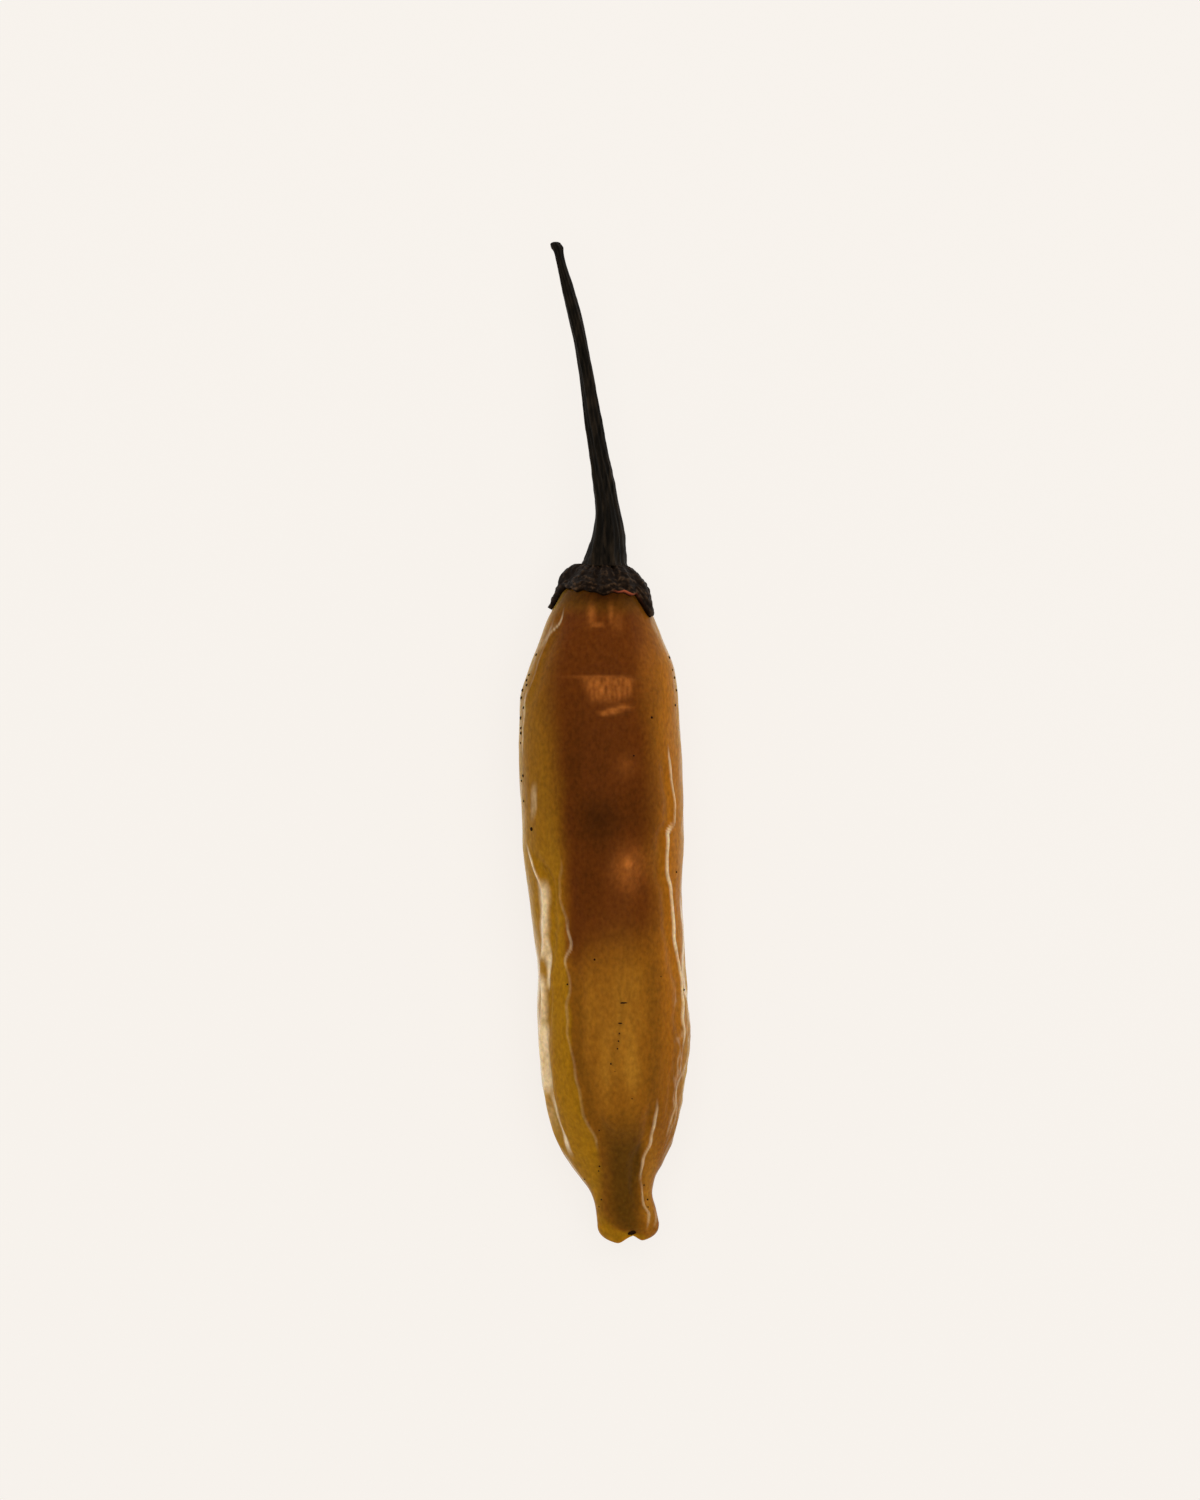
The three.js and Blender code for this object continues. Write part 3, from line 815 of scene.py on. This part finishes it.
def make_calyx():
    """The cap on the pod's shoulder, with an inside that lies on the pod and a wrinkled outside."""
    turn = even_turns(CALYX_SIDES)[None, :]
    tooth = strongest_at(turn, CALYX_TEETH)
    rib = strongest_at(turn, [(middle, width / 1.6, 1) for middle, width, _ in CALYX_TEETH])
    ragged = 0.12 * np.sin(np.radians(7 * turn + 40))
    ragged = ragged + 0.08 * np.sin(np.radians(19 * turn)) * bell(tooth)
    lift = strongest_at(turn, [CALYX_LIFT])
    edge = CALYX_EDGE - tooth + lift + ragged

    inner_share = np.linspace(CALYX_INSIDE, 0, CALYX_INNER_RINGS)[:, None]
    outer_share = np.linspace(0, CALYX_OUTSIDE, CALYX_RINGS)[:, None]
    tuck = np.full((CALYX_INNER_RINGS, CALYX_SIDES), CALYX_TUCK)
    inner = shoulder_cover(turn, edge + (POD_TOP - edge) * inner_share, tuck)
    along = edge + (POD_TOP - edge) * outer_share
    body = 0.5 + 0.5 * smoothstep(outer_share, -0.1, 0.3)
    collar = CALYX_COLLAR * smoothstep(outer_share, 0.4, 0.85)
    thickness = CALYX_THICKNESS * body + collar
    left_turn, left_width = CALYX_LEFT
    leftward = bell(turn_between(turn, left_turn) / left_width)
    hollow = 0.35 * smoothstep(outer_share, 0.5, 0.8) - 0.25 * bell((outer_share - 0.38) / 0.2)
    thickness = thickness + leftward * hollow
    thickness = thickness + CALYX_RIB * rib * np.maximum(0, outer_share * (1 - outer_share) * 3)
    for middle, width, depth in CALYX_GROOVES:
        groove = depth * bell(turn_between(turn, middle) / width)
        thickness = thickness - groove * smoothstep(outer_share, 0.02, 0.25)
    outer = shoulder_cover(turn, along, np.broadcast_to(thickness, along.shape))
    bend = noise_at(outer, 1.4, seed=23)
    ridged = 1 - 2 * np.abs(noise_at(outer, 0.9, seed=21))
    fine = 1 - 2 * np.abs(noise_at(outer, 0.42, (1, 0.8, 1), seed=22))
    rings_round = np.sin(34 * outer_share + 3.0 * bend) * (1 - outer_share)
    ribs = np.abs(np.sin(np.radians(17 * turn) + 1.6 * bend)) * outer_share
    wrinkle = 0.08 * ridged + 0.06 * fine + 0.04 * rings_round - 0.08 * ribs
    outer = shoulder_cover(turn, along, thickness + wrinkle)
    outer[..., 1] = np.minimum(outer[..., 1], CALYX_TOP)

    rings = np.vstack([inner, outer])
    obj = skin_object("calyx_cap", rings, inner[0].mean(axis=0), outer[-1].mean(axis=0))
    # The crests of the wrinkles are lighter, a painted highlight
    raised = 7.0 * (wrinkle - wrinkle.mean()) + 0.02 + 0.3 * noise_at(outer, 0.9, seed=24)
    # A reddish painted highlight along a bit of the edge
    middle, width = CALYX_RED_HIGHLIGHT
    red = bell(turn_between(turn, middle) / width) * (1 - smoothstep(outer_share, 0.012, 0.04))
    hidden = np.zeros_like(inner[..., 0])
    add_mask(obj, "pale", np.vstack([hidden, raised]), (0, 0))
    add_mask(obj, "red", np.vstack([hidden, red]), (0, 0))
    return obj


def make_stem():
    """The stalk, a bent, twisted and ribbed tube that closes at the cut end."""
    turn = even_turns(STEM_SIDES)[None, :]
    along = np.linspace(STEM_OUTLINE[0][0], STEM_OUTLINE[-1][0], STEM_RINGS)[:, None]
    left, right, height = smooth_rows(STEM_OUTLINE)(along)
    middle, radius = (left + right) / 2, (right - left) / 2
    c, s = np.cos(np.radians(turn)), np.sin(np.radians(turn))
    plain = np.stack([middle + radius * c, along + 0 * c, height + radius * s], axis=-1)
    twisted = np.radians(turn - STEM_TWIST * along)
    bend = noise_at(plain, 3.0, (1, 4, 1), seed=31)
    main = STEM_RIB * np.cos(STEM_RIBS * twisted)
    fine = 0.09 * (0.5 - np.abs(np.sin(6.5 * twisted + 1.2 * bend)))
    rough = 0.07 * (0.4 - np.abs(noise_at(plain, 0.35, (1, 7, 1), seed=32)))
    reach = radius * (1 + main + fine + rough)
    rings = np.stack([middle + reach * c, along + 0 * c, height + reach * s], axis=-1)
    end = rings[-1].mean(axis=0)
    closing = [end + (rings[-1] - end) * share + np.array([0, rise, 0]) for share, rise in STEM_ENDING]
    rings = np.vstack([rings, closing])
    last_pole = end + np.array([0, STEM_END_RISE, 0])
    obj = skin_object("stem_stalk", rings, rings[0].mean(axis=0), last_pole)
    # Lighter on its ridges, a painted highlight, unevenly
    raised = np.vstack([fine + rough, np.zeros((len(STEM_ENDING), STEM_SIDES))])
    pale = 0.3 + 5.0 * raised + 0.4 * noise_at(rings, 0.8, (1, 5, 1), seed=33)
    add_mask(obj, "pale", pale, (0, 0))
    add_mask(obj, "red", np.zeros_like(pale), (0, 0))
    return obj


class Nodes:
    """Short calls for building one material's node tree."""

    def __init__(self, name):
        self.material = bpy.data.materials.new(name)
        self.material.use_nodes = True
        self.tree = self.material.node_tree
        self.shader = self.tree.nodes["Principled BSDF"]

    def add(self, kind, **settings):
        node = self.tree.nodes.new(kind)
        for key, value in settings.items():
            setattr(node, key, value)
        return node

    def link(self, output, socket):
        self.tree.links.new(output, socket)

    def mask(self, name):
        return self.add("ShaderNodeAttribute", attribute_name=name).outputs["Fac"]

    def noise(self, scale, detail=3.0, stretch=(1, 1, 1)):
        coordinates = self.add("ShaderNodeTexCoord")
        mapping = self.add("ShaderNodeMapping")
        mapping.inputs["Scale"].default_value = stretch
        texture = self.add("ShaderNodeTexNoise")
        texture.inputs["Scale"].default_value = scale
        texture.inputs["Detail"].default_value = detail
        self.link(coordinates.outputs["Object"], mapping.inputs["Vector"])
        self.link(mapping.outputs["Vector"], texture.inputs["Vector"])
        return texture.outputs["Fac"]

    def mix(self, factor, first, second, blend="MIX"):
        node = self.add("ShaderNodeMix", data_type="RGBA", blend_type=blend)
        for value, index in ((factor, 0), (first, 6), (second, 7)):
            self.put(value, node.inputs[index])
        return node.outputs[2]

    def spread(self, value, low, high, to_low=0.0, to_high=1.0):
        node = self.add("ShaderNodeMapRange")
        self.link(value, node.inputs["Value"])
        node.inputs["From Min"].default_value = low
        node.inputs["From Max"].default_value = high
        node.inputs["To Min"].default_value = to_low
        node.inputs["To Max"].default_value = to_high
        return node.outputs["Result"]

    def put(self, value, socket):
        if isinstance(value, bpy.types.NodeSocket):
            self.link(value, socket)
        elif isinstance(value, tuple):
            socket.default_value = (*value, 1)
        else:
            socket.default_value = value

    def bump(self, height, strength, distance):
        node = self.add("ShaderNodeBump")
        node.inputs["Strength"].default_value = strength
        node.inputs["Distance"].default_value = distance
        self.link(height, node.inputs["Height"])
        self.link(node.outputs["Normal"], self.shader.inputs["Normal"])


# Colours, linear
AMBER = (0.270, 0.095, 0.0065)
OLIVE = (0.272, 0.113, 0.0060)
LIME = (0.360, 0.163, 0.0055)
GOLD = (0.395, 0.136, 0.0075)
# Painted shade of the middle
SHADE_RED_BROWN = (0.135, 0.034, 0.0042)
# Painted shade, the darkest
CORE_SHADE_BROWN = (0.055, 0.0155, 0.0020)
# Painted shade of the neck, under the calyx and in lines
NECK_SHADE_BROWN = (0.117, 0.048, 0.0043)
# Painted glow
PAINTED_GLOW = (0.50, 0.155, 0.026)
# Painted light
PAINTED_LIGHT_GOLD = (0.425, 0.182, 0.0165)
# Painted highlight of the rims
RIM_HIGHLIGHT = (0.62, 0.40, 0.085)
# Painted highlight of the streaks and crests
PALE_HIGHLIGHT = (0.90, 0.69, 0.40)
SPECK = (0.005, 0.0035, 0.0025)
SPECK_BROWN = (0.035, 0.013, 0.004)
# Painted highlight on the calyx's edge
RED_EDGE_HIGHLIGHT = (0.45, 0.095, 0.042)
CALYX_DARK = (0.011, 0.005, 0.0018)
# Painted highlight on the calyx's raised bits
CALYX_HIGHLIGHT = (0.13, 0.072, 0.036)
STEM_DARK = (0.006, 0.0046, 0.0026)
# Painted highlight on the stem's ridges
STEM_HIGHLIGHT = (0.034, 0.022, 0.012)


def pod_material():
    """The skin: its masks' colours over amber, mottled, with a gloss coat on the pale streaks. Its
    red-brown middle and brown shade are painted shade, and its bright patches, glow, pale rims and pale
    streaks are painted light and highlights.
    """
    n = Nodes("chilli_skin")
    colour = AMBER
    layers = [
        ("gold", GOLD),
        ("olive", OLIVE),
        ("lime", LIME),
        ("middle_shade", SHADE_RED_BROWN),
        ("painted_light", PAINTED_LIGHT_GOLD),
        ("shade", NECK_SHADE_BROWN),
        ("dark", CORE_SHADE_BROWN),
        ("glow", PAINTED_GLOW),
        ("rim", RIM_HIGHLIGHT),
        ("pale", PALE_HIGHLIGHT),
    ]
    for mask, tone in layers:
        colour = n.mix(n.mask(mask), colour, tone)
    mottle = n.spread(n.noise(2600, 6.0, (1, 0.7, 1)), 0.3, 0.7, 0.8, 1.2)
    grey = n.add("ShaderNodeCombineColor")
    for channel in ("Red", "Green", "Blue"):
        n.link(mottle, grey.inputs[channel])
    colour = n.mix(1.0, colour, grey.outputs["Color"], "MULTIPLY")
    n.link(colour, n.shader.inputs["Base Color"])
    roughness = n.spread(n.noise(500, 2.0), 0.3, 0.7, 0.16, 0.26)
    n.link(roughness, n.shader.inputs["Roughness"])
    n.shader.inputs["Subsurface Weight"].default_value = 0.25
    n.shader.inputs["Subsurface Radius"].default_value = (1.0, 0.4, 0.1)
    n.shader.inputs["Subsurface Scale"].default_value = 0.001
    n.shader.inputs["IOR"].default_value = 1.1
    n.link(n.mask("pale"), n.shader.inputs["Coat Weight"])
    n.shader.inputs["Coat Roughness"].default_value = 0.12
    n.shader.inputs["Coat IOR"].default_value = 1.35
    n.bump(n.noise(3200, 2.0, (1, 0.7, 1)), 0.15, 0.0001)
    return n.material


def speck_material():
    """The specks: nearly black, in parts brown, and dull."""
    n = Nodes("dark_specks")
    colour = n.mix(n.noise(4000, 2.0), SPECK, SPECK_BROWN)
    n.link(colour, n.shader.inputs["Base Color"])
    n.shader.inputs["Roughness"].default_value = 0.7
    n.shader.inputs["Specular IOR Level"].default_value = 0.0
    return n.material


def dry_material(name, dark, light, fibre):
    """Dried tissue, lighter on its raised bits as a painted highlight, with dark fibres stretched as
    fibre says, and reddish where its red mask is, also a painted highlight.
    """
    n = Nodes(name)
    colour = n.mix(n.mask("pale"), dark, light)
    fibres = n.spread(n.noise(3000, 5.0, fibre), 0.35, 0.65)
    colour = n.mix(fibres, colour, tuple(0.45 * c for c in dark))
    colour = n.mix(n.mask("red"), colour, RED_EDGE_HIGHLIGHT)
    n.link(colour, n.shader.inputs["Base Color"])
    n.shader.inputs["Roughness"].default_value = 0.6
    n.shader.inputs["Specular IOR Level"].default_value = 0.1
    n.bump(n.noise(2400, 4.0, fibre), 0.5, 0.00012)
    return n.material


def place(obj, shift, body="root"):
    """Moves a piece to its place in the frame, where it rides on a body."""
    obj.data.transform(shift)
    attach(obj, body)


def make_light():
    """A soft light overhead that doesn't mirror in the skin."""
    data = bpy.data.lights.new("overhead", "AREA")
    data.shape = "SQUARE"
    data.size = LIGHT_SIZE
    data.energy = LIGHT_POWER
    data.color = LIGHT_COLOUR
    obj = bpy.data.objects.new("overhead", data)
    obj.location = LIGHT_PLACE
    obj.rotation_euler = (-Vector(LIGHT_PLACE)).to_track_quat("-Z", "Y").to_euler()
    obj.visible_glossy = False
    bpy.context.scene.collection.objects.link(obj)


def make_floor():
    """A wide surface that is pale by its own glow, so that it stays plain to its edges."""
    mesh = bpy.data.meshes.new("surface")
    corners = [(FLOOR_HALF * x, FLOOR_HALF * y, 0) for x, y in ((-1, -1), (1, -1), (1, 1), (-1, 1))]
    mesh.from_pydata(corners, [], [(0, 1, 2, 3)])
    floor = bpy.data.objects.new("surface", mesh)
    bpy.context.scene.collection.objects.link(floor)
    n = Nodes("pale_surface")
    n.shader.inputs["Base Color"].default_value = (*FLOOR_COLOUR, 1)
    n.shader.inputs["Roughness"].default_value = 1.0
    n.shader.inputs["Specular IOR Level"].default_value = 0.0
    n.shader.inputs["Emission Color"].default_value = (*SURROUND, 1)
    n.shader.inputs["Emission Strength"].default_value = FLOOR_GLOW
    mesh.materials.append(n.material)


def make_world():
    """A pale surround at the level of the surface that darkens overhead."""
    world = bpy.data.worlds.new("studio")
    bpy.context.scene.world = world
    world.use_nodes = True
    tree = world.node_tree
    back = tree.nodes["Background"]
    coordinates = tree.nodes.new("ShaderNodeTexCoord")
    split = tree.nodes.new("ShaderNodeSeparateXYZ")
    fade = tree.nodes.new("ShaderNodeMapRange")
    fade.interpolation_type = "SMOOTHSTEP"
    fade.inputs["From Min"].default_value, fade.inputs["From Max"].default_value = SURROUND_FADE
    fade.inputs["To Min"].default_value = 1.0
    fade.inputs["To Max"].default_value = SURROUND_OVERHEAD
    back.inputs["Color"].default_value = (*SURROUND, 1)
    tree.links.new(coordinates.outputs["Generated"], split.inputs["Vector"])
    tree.links.new(split.outputs["Z"], fade.inputs["Value"])
    tree.links.new(fade.outputs["Result"], back.inputs["Strength"])


def make_camera(middle):
    """A camera that looks straight down at the picture's middle."""
    data = bpy.data.cameras.new("camera")
    data.lens = LENS
    data.sensor_fit = "VERTICAL"
    data.sensor_height = SENSOR
    data.clip_start = 0.01
    data.clip_end = 50
    camera = bpy.data.objects.new("camera", data)
    distance = PHOTO_HEIGHT * PIXEL * MM * LENS / SENSOR
    camera.location = (middle.x, middle.y, distance + SCALE_HEIGHT * MM)
    bpy.context.scene.collection.objects.link(camera)
    bpy.context.scene.camera = camera


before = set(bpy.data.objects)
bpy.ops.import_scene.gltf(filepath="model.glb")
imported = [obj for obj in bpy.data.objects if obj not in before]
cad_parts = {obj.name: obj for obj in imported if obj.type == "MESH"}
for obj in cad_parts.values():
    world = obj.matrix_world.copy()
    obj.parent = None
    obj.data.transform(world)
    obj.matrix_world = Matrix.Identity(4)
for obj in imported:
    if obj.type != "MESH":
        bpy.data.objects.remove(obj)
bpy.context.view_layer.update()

pod, pod_rings = make_pod()
specks = make_specks(pod_rings)
calyx = make_calyx()
stem = make_stem()

# The fruit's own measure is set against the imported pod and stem
low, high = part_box("pod")
_, stem_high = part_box("stem")
pod_middle = (pod_rings[..., 0].min() + pod_rings[..., 0].max()) / 2 * MM
fruit_x = (low.x + high.x) / 2 - pod_middle
fruit_y = stem_high.y - STEM_END * MM
shift = Matrix.Translation((fruit_x, fruit_y, 0))

place(pod, shift)
place(specks, shift)
place(calyx, shift)
place(stem, shift)
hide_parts("pod")
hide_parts("calyx")
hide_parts("stem")
pod.data.materials.append(pod_material())
specks.data.materials.append(speck_material())
calyx.data.materials.append(dry_material("dry_calyx", CALYX_DARK, CALYX_HIGHLIGHT, (1, 1, 1)))
stem.data.materials.append(dry_material("dry_stem", STEM_DARK, STEM_HIGHLIGHT, (1, 0.18, 1)))

make_floor()
make_world()
make_light()
make_camera(Vector((fruit_x + PHOTO_MIDDLE_X * MM, fruit_y + PHOTO_MIDDLE_ALONG * MM, 0)))
bpy.context.scene.view_settings.view_transform = "Standard"
